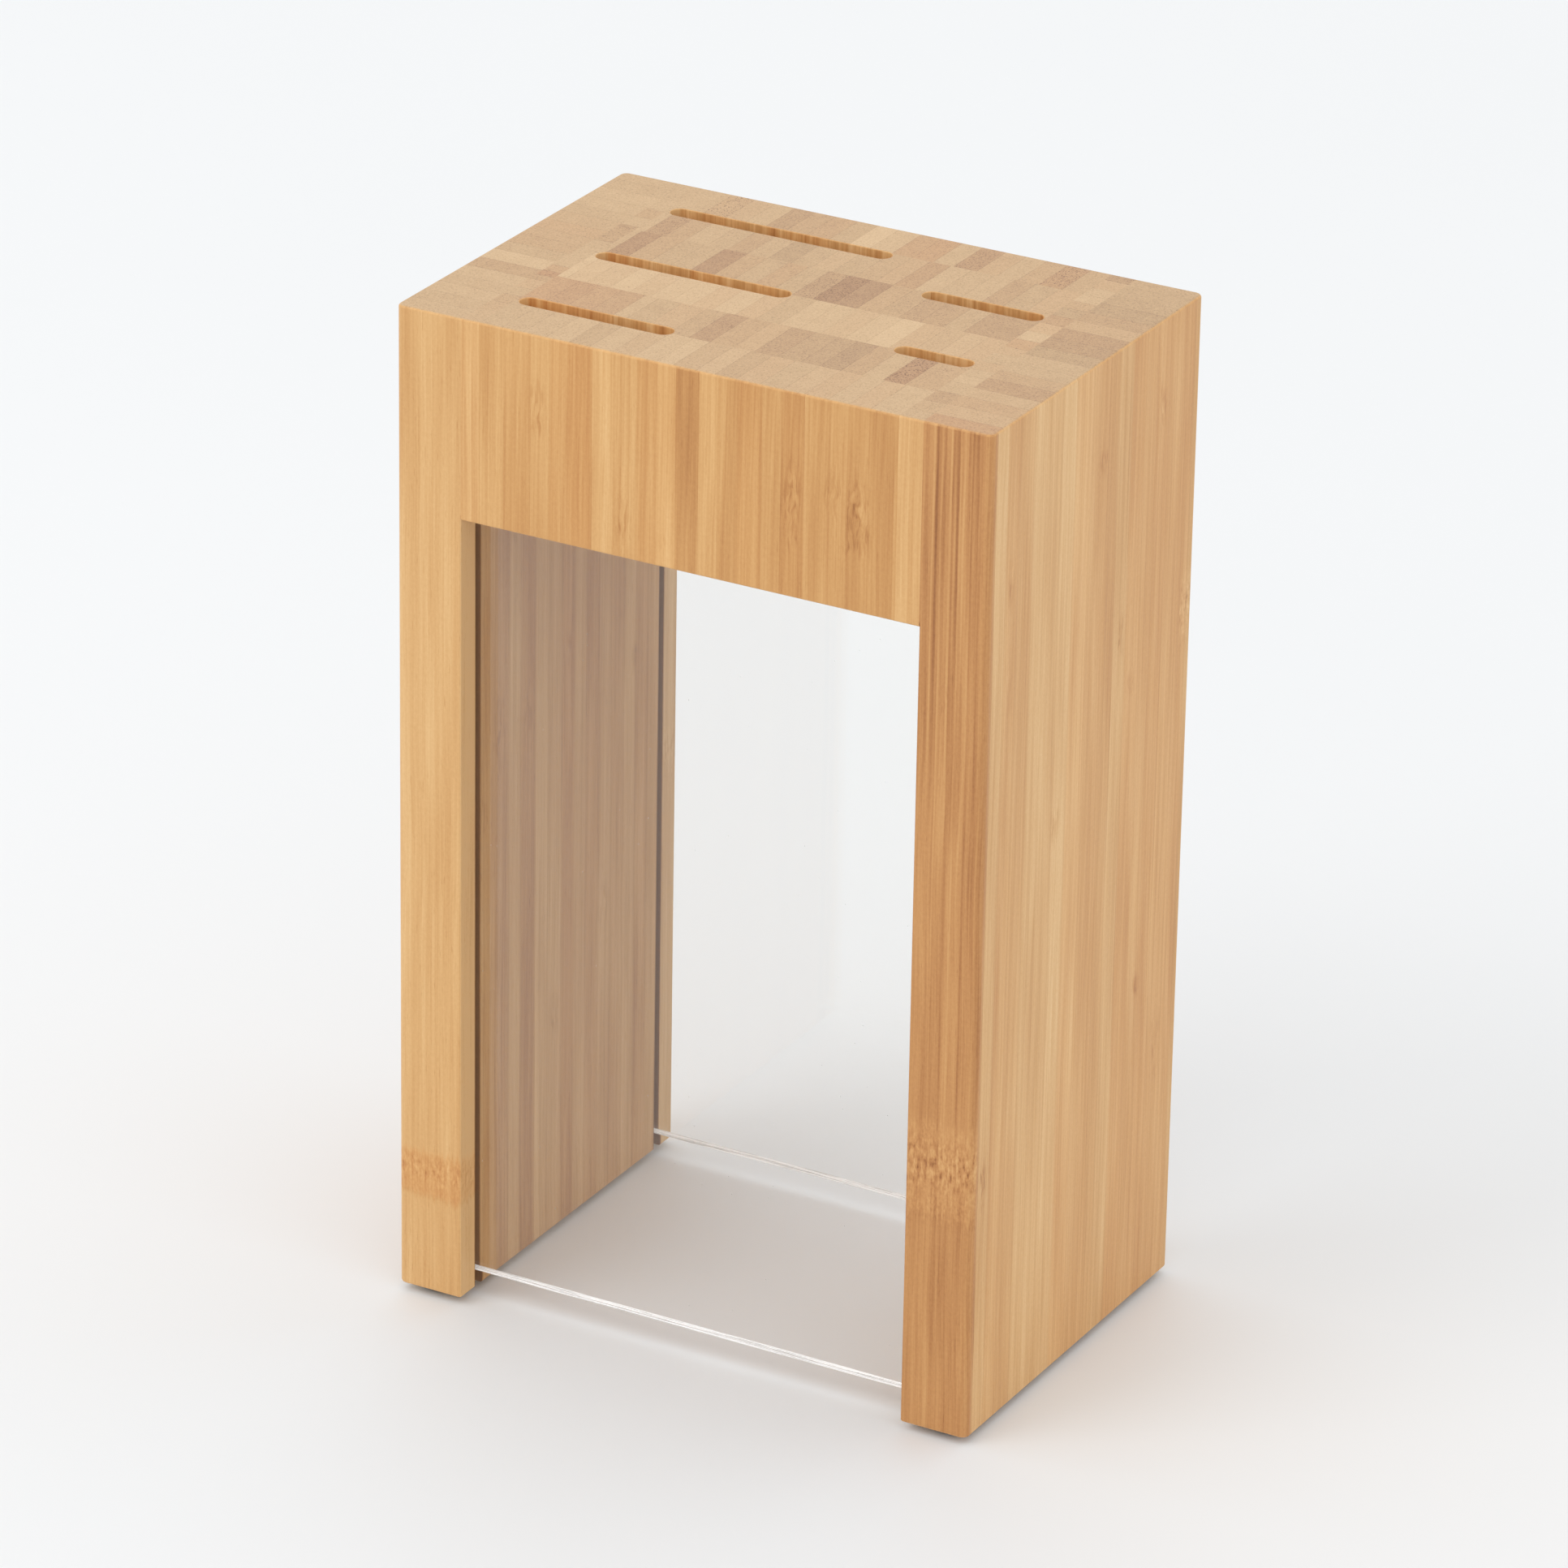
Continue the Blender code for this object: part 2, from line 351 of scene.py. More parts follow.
        # painted shade: the walls of the panel grooves are drawn dark
        hole = x.gt(13.0) * x.lt(17.9) + x.gt(142.1) * x.lt(147.0)
        along = y.gt(6.75) * y.lt(10.45) + y.gt(96.55) * y.lt(100.25)
        painted_groove_shade = hole * along * depth.gt(46.0) * z.gt(2.05)
        # ... and a painted shade line darkens the wood along their arrises
        painted_rim_shade = y.step(6.35, 6.75) * y.step(7.2, 6.9) + y.step(10.2, 10.35) * y.step(11.0, 10.4)
        painted_rim_shade = painted_rim_shade + y.step(96.0, 96.55) * y.step(97.0, 96.7) + y.step(100.0, 100.25) * y.step(100.7, 100.3)
        d = d + painted_rim_shade * x.gt(17.0) * x.lt(143.0) * depth.gt(51.0) * 0.65
    side_colour, _ = g.ramp(d * (1.0 / 1.5), [(p / 1.5, lin(c)) for p, c in SIDE_PALETTE])
    side_colour = g.mix(pink + blush, side_colour, (0.86, 0.42, 0.27, 1.0), "SOFT_LIGHT")
    side_colour = g.mix(1.0, side_colour, (*tint, 1.0), "MULTIPLY")
    # painted reflection: from the front groove back, the inner face gets a greyer, bluer tint that stands in for the
    # acrylic's reflection veil
    if inner_painted_shade:
        side_colour = g.mix(shaded * 0.85, side_colour, (1.01, 1.19, 1.46, 1.0), "MULTIPLY")
    # painted shade: the groove walls are drawn dark brown
    if grooves:
        side_colour = g.mix(painted_groove_shade * 0.85, side_colour, (0.26, 0.140, 0.078, 1.0))

    # end grain: fibre bundles as fine dots, closer together towards one side of each strip
    tone_t, pink_t, seam_t, speck, _ = read_strips(g, u, top, lo, hi, 0.07)
    mottled = g.noise(g.vec(x * 0.22, y * 0.22, 2.0 + seed), 1.0, 3.0, 0.6)
    flow = g.noise(g.vec(x * 1.3, y * 1.3, seed), 1.0, 2.0)
    dots = g.cells(g.vec(x * 1.5, y * 1.5, seed), 1.0, 0.9).step(0.42, 0.12)
    dots2 = g.cells(g.vec(x * 2.6, y * 2.6, seed + 4.0), 1.0, 1.0).step(0.36, 0.10)
    grit = g.noise(g.vec(x * 2.4, y * 2.4, seed + 8.0), 1.0, 2.0, 0.7) - 0.5
    dt = ((tone_t - 0.48) * 1.22 + 0.48 + (mottled - 0.5) * 0.26 + (flow - 0.5) * 0.40 + seam_t * 0.24 + grit * 0.42
          + dots * (speck * 0.60 + 0.12) + dots2 * (speck * 0.45 + 0.16) - speck * 0.14)
    end_colour, _ = g.ramp(dt * (1.0 / 1.5), [(p / 1.5, lin(c)) for p, c in END_PALETTE])
    end_colour = g.mix(pink_t, end_colour, (0.66, 0.40, 0.36, 1.0), "SOFT_LIGHT")

    colour = g.mix(end, side_colour, end_colour)
    # painted highlight: the eased edges are drawn a little brighter and warmer, broken up by noise
    edge = nz.abs().step(0.12, 0.45) * (1.0 - nz.abs().step(0.80, 0.97))
    highlight_breakup = g.noise(g.vec(x * 0.9, y * 0.9, z * 0.9 + seed), 1.0, 3.0, 0.7).step(0.36, 0.66)
    colour = g.mix(edge * (highlight_breakup * 0.38 + 0.10), colour, lin((232, 180, 116)))

    b = g.n("ShaderNodeBsdfPrincipled")
    g.plug(b.inputs["Base Color"], colour)
    g.plug(b.inputs["Roughness"], (fine - 0.5) * 0.22 + end * 0.14 + 0.43)
    b.inputs["Specular IOR Level"].default_value = 0.36
    height = fine * 0.5 + mid * 0.25 - dash * 0.35 - pore * 0.2 - seam * 0.25 + knot * curl * 0.9
    height = height * (1.0 - end) + end * (flow * 0.3 + grit * 0.7 - dots * 0.35 - seam_t * 0.4)
    bump = g.n("ShaderNodeBump")
    bump.inputs["Strength"].default_value = 0.55
    bump.inputs["Distance"].default_value = 0.00007
    g.plug(bump.inputs["Height"], height)
    g.plug(b.inputs["Normal"], bump.outputs[0])
    g.plug(g.out.inputs["Surface"], b.outputs[0])
    return g.mat


# Strips of each board: where each one starts (mm) and how dark and how pink it is.
LEFT_SIDE = (
    (0, .22, 0), (7, .46, 0), (12, .52, .05), (17.5, .60, .05), (23.5, .40, 0), (29.5, .68, .05),
    (36, .36, 0), (42.5, .48, 0), (49, .60, .08), (55, .45, 0), (61, .58, .05), (67, .48, 0),
    (73, .54, .03), (79, .42, 0), (85, .58, .05), (91, .48, 0), (97, .34, 0),
)
LEFT_TOP = (
    (0, .44, 0), (6, .47, 0), (12.2, .41, 0), (18.6, .46, 0), (24.5, .41, 0), (31, .56, .1),
    (37.2, .33, 0), (44, .48, 0), (50, .52, .1), (56.3, .50, .1), (62, .49, .15), (68.5, .48, .05),
    (75, .47, 0), (81, .42, 0), (87.7, .39, 0), (94.5, .46, 0), (101, .44, 0),
)
RIGHT_SIDE = (
    (0, .89, .10), (2.1, .28, 0), (8, .42, .08), (14, .48, .05), (21, .29, 0), (27.5, .31, 0),
    (35, .21, 0), (42, .34, .12), (50, .42, .08), (59, .53, .05), (64, .31, 0), (71, .50, .12),
    (78, .44, .1), (84, .44, .12), (90, .40, .1), (97, .47, .1), (103, .44, 0),
)
RIGHT_TOP = (
    (0, .58, .35), (5.2, .46, .1), (12, .52, .15), (18, .46, .05), (24.2, .62, .15), (31, .53, .1),
    (37, .47, 0), (43, .46, 0), (49, .58, 0), (55.5, .64, .1), (62, .63, .15), (68.6, .47, .1),
    (75, .57, .1), (81, .60, 0), (87.8, .54, 0), (94, .52, 0), (101, .51, 0),
)
SPACER_L_SIDE = ((0, .40, .04), (14, .45, .1), (28, .4, 0), (38, .5, .1), (52, .4, 0), (66, .5, 0), (80, .42, 0), (94, .45, 0))
SPACER_L_TOP = (
    (0, .44, .05), (8, .47, .1), (14, .52, .1), (19.5, .46, 0), (25, .44, .1), (31, .56, .1), (34.5, .66, .35, .5),
    (38, .52, .2), (42, .42, 0), (50, .44, 0), (57, .46, 0), (62, .58, .1, .5), (73, .60, .1), (74.5, .44, 0),
    (81, .52, .1), (87, .43, 0), (95, .45, 0), (101, .46, 0),
)
SPACER_R_SIDE = ((0, .36, 0), (14, .4, 0), (28, .34, 0), (42, .5, 0), (60, .4, .1), (78, .35, 0), (92, .5, 0))
SPACER_R_TOP = (
    (0, .46, 0), (5, .50, .05), (11.5, .58, .1), (18, .44, 0), (25, .38, 0), (30, .42, 0), (34.5, .47, .1),
    (40, .44, 0), (46, .46, .1), (51, .52, .25), (57, .34, 0), (63, .42, .15), (69, .58, .2), (75, .56, 0),
    (81, .50, .1), (85.8, .36, 0), (91, .40, 0), (96, .46, .1), (102, .66, .1, .5),
)
FRONT_BOARD = (
    (23, .36, .0), (24.5, .34, 0), (30, .44, .02), (36.5, .34, 0), (42, .42, .05), (47, .56, .08),
    (53.6, .22, 0), (60, .32, 0), (66, .48, .05), (70.8, .28, .05), (76.6, .74, .0), (82, .27, 0),
    (88, .50, 0), (93, .56, .05), (99.3, .38, 0), (105, .74, .03), (110.6, .45, 0), (117, .49, 0),
    (122.4, .54, 0), (128, .59, 0), (134, .38, 0),
)
FRONT_TOP = (
    (23, .46, 0), (29, .45, 0), (35, .44, 0), (41, .40, 0), (47, .51, 0), (53, .41, 0), (59, .45, .05),
    (65, .38, 0), (71, .34, 0), (75.5, .48, .05), (81.5, .40, .05), (86.5, .52, .05), (92.5, .46, .1),
    (98.5, .47, 0), (104.5, .42, .05), (110.5, .46, .1), (116.5, .42, 0), (122.4, .44, .1), (128, .41, 0),
)
ROW2 = (
    (23, .57, .30), (29, .60, .30), (35, .56, .25), (41, .58, .20), (47, .42, 0), (51, .50, 0), (57.5, .46, .1),
    (64, .53, .05), (70, .66, .15), (75.5, .53, .1), (81.5, .47, .1), (87.5, .62, .1), (93.5, .58, .05),
    (99.5, .60, .05), (105, .66, .05), (110.5, .56, .1), (116, .44, 0), (121.5, .80, .25, 1.0), (127.4, .53, .1),
)
ROW3 = (
    (23, .28, 0), (25.2, .34, .05), (31, .37, .05), (37, .29, 0), (42.8, .38, .05), (48.5, .33, 0), (54.3, .31, 0),
    (60, .38, .1), (65.6, .32, 0), (71.6, .42, .1), (77.4, .47, 0), (83.3, .36, 0), (89.2, .37, 0), (95, .40, .05),
    (101, .34, 0), (106.8, .27, 0), (112.6, .43, .1), (118.3, .46, .05), (124.2, .40, .05), (130, .44, .1),
)
ROW4 = (
    (23, .46, 0), (25, .72, .20), (30.6, .54, .1), (36.4, .50, 0), (42.2, .49, 0), (48, .72, .20), (53.8, .54, .1),
    (59.6, .48, 0), (65.4, .54, .15), (71.2, .50, 0), (76.6, .66, .1, .5), (82.3, .82, .2, .6), (88, .72, .15),
    (93.8, .52, .1), (99.6, .54, .05), (105.4, .60, .1), (111.2, .58, .1), (117, .49, 0), (122.6, .62, .1),
)
ROW5 = (
    (23, .44, 0), (25.2, .66, .15, .5), (31, .54, .1), (36.8, .44, 0), (42.6, .49, 0), (48.3, .57, .1), (54.2, .48, 0),
    (60, .60, 0), (66, .50, 0), (71.6, .44, .05), (77.4, .49, 0), (83.2, .50, .05), (88.8, .48, .1),
    (94, .60, .2), (99.8, .42, 0), (105.6, .45, 0), (111.4, .43, 0), (117, .58, .1), (122.9, .50, 0), (128.8, .46, .1),
)
ROW6 = (
    (23, .44, 0), (31, .58, .1, .9), (37, .47, .05), (43, .43, 0), (48.5, .62, .1), (54.3, .55, .1), (60, .54, .15),
    (66, .49, 0), (71.6, .26, 0), (77.4, .38, 0), (83.2, .55, .25), (89.2, .56, .3), (95, .44, 0),
    (100.6, .68, .2, .5), (106.5, .48, .1), (112.3, .44, 0), (118, .52, .1), (123.6, .68, .25, .9), (129.6, .50, .05),
)

mat_left = bamboo(
    "bamboo_left_board", "Y", 0, 107, LEFT_SIDE, LEFT_TOP, seed=3.0, streak=0.75, inner_painted_shade=0.10, grooves=True, dashes=0.26,
    tint=(0.962, 0.945, 0.92),
    knots=((20, 114, 3.5, 11, .45), (33, 114, 3.2, 5, .5), (52, 104, 3.2, 8, .4), (84.5, 117, 3.0, 5, .5),
           (12, 133, 3.2, 8, .4), (70, 180, 3.0, 8, .6), (46, 200, 3, 8, .5), (62, 34, 3, 8, .6), (26, 60, 3, 8, .5)),
    bands=((-1, 7, 228.0, 6.5, .72, .24, .26), (97, 108, 150.0, 6.5, .6, .0, .0)),
)
mat_right = bamboo(
    "bamboo_right_board", "Y", 0, 107, RIGHT_SIDE, RIGHT_TOP, seed=21.0, streak=0.8, grooves=True,
    tint=(0.978, 0.998, 1.04),
    knots=((11, 42, 2.6, 9, .55), (11, 68, 2.6, 12, .42), (37, 112, 3.4, 6, .75), (56.5, 25, 2.6, 7, .7),
           (68.5, 74, 2.8, 7, .75), (75, 89, 3.2, 5, .8), (83, 173, 2.6, 4, .6), (87, 23, 2.8, 9, .6),
           (95, 196, 2.8, 13, .6), (5, 193, 3.0, 8, .8)),
    bands=((-1, 2.1, 191.0, 12.5, .95, -.08, .02), (100, 108, 80.0, 9.0, .8, -.05, .0)),
    lines=((143.2, .6, .12, 45, 90), (146.0, .5, .22, 48, 96), (148.0, .4, .16, 30, 60), (151.4, .7, .34, 40, 84),
           (154.2, .5, .20, 30, 70), (156.4, .6, .24, 34, 90), (145.0, .45, -.22, 60, 100), (149.6, .5, -.26, 62, 130),
           (153.0, .45, -.20, 40, 120), (150.2, .4, .14, 200, 262), (155.2, .4, .15, 150, 262), (157.4, .4, .12, 90, 262),
           (147.2, .4, -.18, 90, 262), (151.9, .4, -.16, 200, 262), (158.6, .6, -.10, 90, 262)),
)
mat_front = bamboo(
    "bamboo_front_board", "X", 0, 160, FRONT_BOARD, FRONT_TOP, seed=40.0, streak=0.85, slot_walls=True,
    tint=(0.955, 0.92, 0.865),
    knots=((39.4, 19.0, 3.2, 9.0, .75), (63, 43, 3.2, 11, .6), (107.8, 28, 3.2, 14, .85), (125.0, 28, 4.6, 12, 1.0),
           (119.0, 22, 2.8, 8, .55), (73, 47, 2.6, 6, .45)),
)
mats_core = {"core_board_1": mat_front}
for i, (row, seed, knots) in enumerate((
    (ROW2, 61.0, ()), (ROW3, 77.0, ()), (ROW4, 90.0, ()), (ROW5, 113.0, ()),
    (ROW6, 131.0, ((34, 22, 2.6, 8, .8), (57, 38, 2.6, 8, .7), (92, 15, 2.6, 6, .8), (115, 33, 2.6, 9, .8))),
)):
    mats_core[f"core_board_{i + 2}"] = bamboo(
        f"bamboo_core_{i + 2}", "X", 0, 160, row, row, seed=seed, knots=knots, slot_walls=True)
mat_spacer_l = bamboo("bamboo_left_spacer", "Y", 0, 107, SPACER_L_SIDE, SPACER_L_TOP, seed=150.0, streak=1.15)
mat_spacer_r = bamboo("bamboo_right_spacer", "Y", 0, 107, SPACER_R_SIDE, SPACER_R_TOP, seed=163.0, streak=0.8)


# ------------------------------------------------------------------ acrylic
def acrylic(name):
    g = Graph(name)
    co = g.n("ShaderNodeTexCoord").outputs["Object"]
    mm = g.vmath("MULTIPLY", co, (1000.0, 1000.0, 1000.0)).outputs[0]
    b = g.n("ShaderNodeBsdfPrincipled")
    b.inputs["Transmission Weight"].default_value = 1.0
    b.inputs["IOR"].default_value = 1.49
    wiped = g.noise(mm, 0.035, 3.0, 0.6)
    specks = g.cells(mm, 0.16, 1.0).step(0.035, 0.02)
    g.plug(b.inputs["Roughness"], (wiped - 0.5).max(0.0) * 0.05 + specks * 0.3 + 0.004)
    g.plug(b.inputs["Base Color"], g.mix(specks * 0.6 + wiped * 0.06, (0.985, 0.985, 0.98, 1), (0.90, 0.90, 0.89, 1)))
    clear = g.n("ShaderNodeBsdfTransparent")
    clear.inputs[0].default_value = (0.94, 0.94, 0.94, 1.0)
    path = g.n("ShaderNodeLightPath")
    through = S(g, path.outputs["Is Shadow Ray"]).max(S(g, path.outputs["Is Diffuse Ray"]))
    mixer = g.n("ShaderNodeMixShader")
    g.plug(mixer.inputs[0], through)
    g.plug(mixer.inputs[1], b.outputs[0])
    g.plug(mixer.inputs[2], clear.outputs[0])
    g.plug(g.out.inputs["Surface"], mixer.outputs[0])
    return g.mat


def acrylic_edge(name):
    """The saw-cut and flamed edge of the sheet: milky, with fine tool lines along it, and a painted glow."""
    g = Graph(name)
    co = g.n("ShaderNodeTexCoord").outputs["Object"]
    x, y, z = g.split(g.vmath("MULTIPLY", co, (1000.0, 1000.0, 1000.0)).outputs[0])
    tool = g.noise(g.vec(x * 0.05, y * 4.0, z * 4.0), 1.0, 3.0, 0.6)
    chips = g.noise(g.vec(x * 0.9, y * 1.5, z * 1.5), 1.0, 2.0, 0.6)
    b = g.n("ShaderNodeBsdfPrincipled")
    b.inputs["IOR"].default_value = 1.49
    b.inputs["Transmission Weight"].default_value = 0.20
    g.plug(b.inputs["Roughness"], tool * 0.25 + 0.15)
    colour, _ = g.ramp(tool * 0.75 + chips * 0.25, [(0.36, (0.62, 0.60, 0.585, 1)), (0.54, (0.98, 0.98, 0.975, 1))])
    # painted light: the edge glows by emission, standing in for the light that the sheet gathers and carries to its
    # edge
    b.inputs["Emission Color"].default_value = (1.0, 0.995, 0.98, 1.0)
    g.plug(b.inputs["Emission Strength"], tool.step(0.40, 0.60) * 0.20 + 0.04)
    g.plug(b.inputs["Base Color"], colour)
    bump = g.n("ShaderNodeBump")
    bump.inputs["Strength"].default_value = 0.15
    bump.inputs["Distance"].default_value = 0.00003
    g.plug(bump.inputs["Height"], tool)
    g.plug(b.inputs["Normal"], bump.outputs[0])
    g.plug(g.out.inputs["Surface"], b.outputs[0])
    return g.mat


def rubber(name):
    g = Graph(name)
    co = g.n("ShaderNodeTexCoord").outputs["Object"]
    mm = g.vmath("MULTIPLY", co, (1000.0, 1000.0, 1000.0)).outputs[0]
    grain = g.noise(mm, 2.2, 3.0, 0.6)
    dust = g.noise(mm, 0.5, 3.0, 0.6).step(0.52, 0.75)
    b = g.n("ShaderNodeBsdfPrincipled")
    colour, _ = g.ramp(grain, [(0.25, lin((9, 9, 9))), (0.75, lin((22, 21, 21)))])
    g.plug(b.inputs["Base Color"], g.mix(dust * 0.10, colour, lin((92, 88, 84))))
    b.inputs["Specular IOR Level"].default_value = 0.2
    g.plug(b.inputs["Roughness"], grain * 0.2 + 0.7)
    bump = g.n("ShaderNodeBump")
    bump.inputs["Strength"].default_value = 0.5
    bump.inputs["Distance"].default_value = 0.00008
    g.plug(bump.inputs["Height"], grain)
    g.plug(b.inputs["Normal"], bump.outputs[0])
    g.plug(g.out.inputs["Surface"], b.outputs[0])
    return g.mat


def counter(name):
    g = Graph(name)
    co = g.n("ShaderNodeTexCoord").outputs["Object"]
    cloud = g.noise(co, 2.5, 3.0, 0.5)
    b = g.n("ShaderNodeBsdfPrincipled")
    g.plug(b.inputs["Base Color"], g.mix(cloud, (0.852, 0.868, 0.880, 1), (0.876, 0.892, 0.904, 1)))
    b.inputs["Roughness"].default_value = 0.55
    b.inputs["Specular IOR Level"].default_value = 0.25
    g.plug(g.out.inputs["Surface"], b.outputs[0])
    return g.mat


# ----------------------------------------------------------------- geometry
def finish_mesh(name, bm, mat, sharp=15.0):
    """A closed mesh with smooth eased edges and flat faces kept flat."""
    bmesh.ops.remove_doubles(bm, verts=bm.verts, dist=1e-7)
    bmesh.ops.recalc_face_normals(bm, faces=bm.faces)
    me = bpy.data.meshes.new(name)
    bm.to_mesh(me)
    bm.free()
    ob = bpy.data.objects.new(name, me)
    scene.collection.objects.link(ob)
    me.materials.append(mat)
    me.shade_smooth()
    me.set_sharp_from_angle(angle=radians(sharp))
    w = ob.modifiers.new("even_normals", "WEIGHTED_NORMAL")
    w.mode = "FACE_AREA"
    w.weight = 50
    w.keep_sharp = True
    return ob


def rings_to_bm(rings):
    """Closed rings of equally many points, joined by quads and capped."""
    bm = bmesh.new()
    vs = [[bm.verts.new([c * MM for c in p]) for p in ring] for ring in rings]
    n = len(vs[0])
    for a, b in zip(vs, vs[1:]):
        for i in range(n):
            j = (i + 1) % n
            q = [a[i], a[j], b[j], b[i]]
            if len({tuple(round(c, 9) for c in p.co) for p in q}) > 2:
                bm.faces.new(q)
    bm.faces.new(list(reversed(vs[0])))
    bm.faces.new(vs[-1])
    return bm


def quarter(n):
    return [pi / 2 * i / n for i in range(n + 1)]


def corner(cx, cy, r, start, n):
    """n+1 points of a quarter turn about (cx, cy), from the angle start."""
    return [(cx + r * cos(start + a), cy + r * sin(start + a)) for a in quarter(n)]


TOP_EASE, LOW_EASE, EASE_STEPS = 0.8, 0.7, 8


def ease_levels(z0, z1, r0, r1):
    """(height, inset) from the lower eased edge to the upper one."""
    low = [(z0 + r0 - r0 * cos(a), r0 - r0 * sin(a)) for a in quarter(EASE_STEPS)]
    high = [(z1 - r1 + r1 * sin(a), r1 - r1 * cos(a)) for a in quarter(EASE_STEPS)]
    return low, high


def side_board(name, side, mat):
    (x0, y0, z0), (x1, y1, z1) = box_mm(name)
    xi, xo = (x0, x1) if side > 0 else (-x1, -x0)
    head = box_mm("core_board_1")[0][2]
    front, rear = box_mm("front_panel"), box_mm("rear_panel")
    clear = 0.25
    grooves = [(rear[0][1] - clear, rear[1][1] + clear), (front[0][1] - clear, front[1][1] + clear)]
    deep = 5.0
    low, high = ease_levels(z0, z1, LOW_EASE, TOP_EASE)
    levels = [(z, e, e, 0.55, deep) for z, e in low]
    levels += [(head + 0.2, 0, 0, 0.55, deep), (head + 0.8, 0, 0, 0.40, deep), (head + 1.3, 0, 0, 0.15, deep),
               (head + 1.6, 0, 0, 0.0, deep), (head + 3.0, 0, 0, 0.0, deep), (head + 3.0, 0, 0, 0.0, 0.0)]
    levels += [(z, e, 0.0, 0.0, 0.0) for z, e in high]
    rings = []
    for z, out, inn, r_in, dg in levels:
        r = 2.0 - out
        a0, a1, b0, b1 = xi + inn, xo - out, y0 + out, y1 - out
        ring = corner(a0 + r_in, b0 + r_in, r_in, pi, 4)
        ring += corner(a1 - r, b0 + r, r, 1.5 * pi, 10)
        ring += corner(a1 - r, b1 - r, r, 0.0, 10)
        ring += corner(a0 + r_in, b1 - r_in, r_in, 0.5 * pi, 4)
        for g0, g1 in grooves:
            ring += [(a0, g1), (a0 + dg, g1), (a0 + dg, g0), (a0, g0)]
        rings.append([(side * px, py, z) for px, py in ring])
    return finish_mesh(name + "_wood", rings_to_bm(rings), mat)


def header_bar(name, x0, x1, y0, y1, z0, z1, ease_front, ease_rear, mat):
    """A board of the header: its outline in Y and Z, drawn out along X."""
    def cut(cy, cz, r, start):
        return corner(cy, cz, r, start, EASE_STEPS) if r else [(cy, cz)]
    rf0, rf1 = (LOW_EASE, TOP_EASE) if ease_front else (0, 0)
    rr0, rr1 = (LOW_EASE, TOP_EASE) if ease_rear else (0, 0)
    ring = cut(y0 + rf0, z0 + rf0, rf0, pi)
    ring += cut(y1 - rr0, z0 + rr0, rr0, 1.5 * pi)
    ring += cut(y1 - rr1, z1 - rr1, rr1, 0.0)
    ring += cut(y0 + rf1, z1 - rf1, rf1, 0.5 * pi)
    return finish_mesh(name, rings_to_bm([[(x, py, pz) for py, pz in ring] for x in (x0, x1)]), mat)


def slot_cutter(name, x0, x1, y, z0, z1, width=5.0):
    """A round-ended blade slot whose rims are slightly eased."""
    r, n = width / 2, 10
    def outline(z, grow):
        rr = r + grow
        right = [(x1 - r + rr * cos(-pi / 2 + pi * i / n), y + rr * sin(-pi / 2 + pi * i / n)) for i in range(n + 1)]
        left = [(x0 + r + rr * cos(pi / 2 + pi * i / n), y + rr * sin(pi / 2 + pi * i / n)) for i in range(n + 1)]
        return [(px, py, z) for px, py in right + left]
    e = 0.35
    levels = [(z0 - 3, e)] + [(z0 + e - e * cos(a), e - e * sin(a)) for a in quarter(3)]
    levels += [(z1 - e + e * sin(a), e - e * cos(a)) for a in quarter(3)] + [(z1 + 3, e)]
    bm = rings_to_bm([outline(z, g) for z, g in levels])
    bmesh.ops.recalc_face_normals(bm, faces=bm.faces)
    me = bpy.data.meshes.new(name)
    bm.to_mesh(me)
    bm.free()
    ob = bpy.data.objects.new(name, me)
    scene.collection.objects.link(ob)
    return ob


def cut_with(ob, cutters):
    """Applies the cuts and gives the piece its final mesh."""
    for c in cutters:
        m = ob.modifiers.new("cut", "BOOLEAN")
        m.operation, m.solver, m.object = "DIFFERENCE", "EXACT", c
    while ob.modifiers[0].type == "WEIGHTED_NORMAL" and len(ob.modifiers) > 1:
        ob.modifiers.move(0, len(ob.modifiers) - 1)
    bpy.context.view_layer.update()
    dg = bpy.context.evaluated_depsgraph_get()
    me = bpy.data.meshes.new_from_object(ob.evaluated_get(dg))
    ob.modifiers.clear()
    ob.data = me
    me.shade_smooth()
    me.set_sharp_from_angle(angle=radians(20))
    w = ob.modifiers.new("even_normals", "WEIGHTED_NORMAL")
    w.mode, w.weight, w.keep_sharp = "FACE_AREA", 50, True
    return ob


def panel(name, mat, edge_mat):
    (x0, y0, z0), (x1, y1, z1) = box_mm(name)
    bm = bmesh.new()
    bmesh.ops.create_cube(bm, size=1.0)
    for v in bm.verts:
        v.co = Vector(((x0 + x1) / 2 + v.co.x * (x1 - x0), (y0 + y1) / 2 + v.co.y * (y1 - y0),
                       (z0 + z1) / 2 + v.co.z * (z1 - z0))) * MM
    low = (z0 + 0.1) * MM
    sill = [e for e in bm.edges if all(v.co.z < low for v in e.verts) and abs(e.verts[0].co.y - e.verts[1].co.y) < 1e-6]
    bmesh.ops.bevel(bm, geom=sill, offset=0.95 * MM, segments=2, profile=0.5, affect="EDGES", clamp_overlap=True)
    rest = [e for e in bm.edges if not all(v.co.z < low + 1.0 * MM for v in e.verts) and e.calc_face_angle(0.0) > 1.0]
    bmesh.ops.bevel(bm, geom=rest, offset=0.25 * MM, segments=2, profile=0.5, affect="EDGES", clamp_overlap=True)
    ob = finish_mesh(name + "_sheet", bm, mat)
    ob.data.materials.append(edge_mat)
    for f in ob.data.polygons:
        f.material_index = 0 if abs(f.normal.y) > 0.995 else 1
    return ob


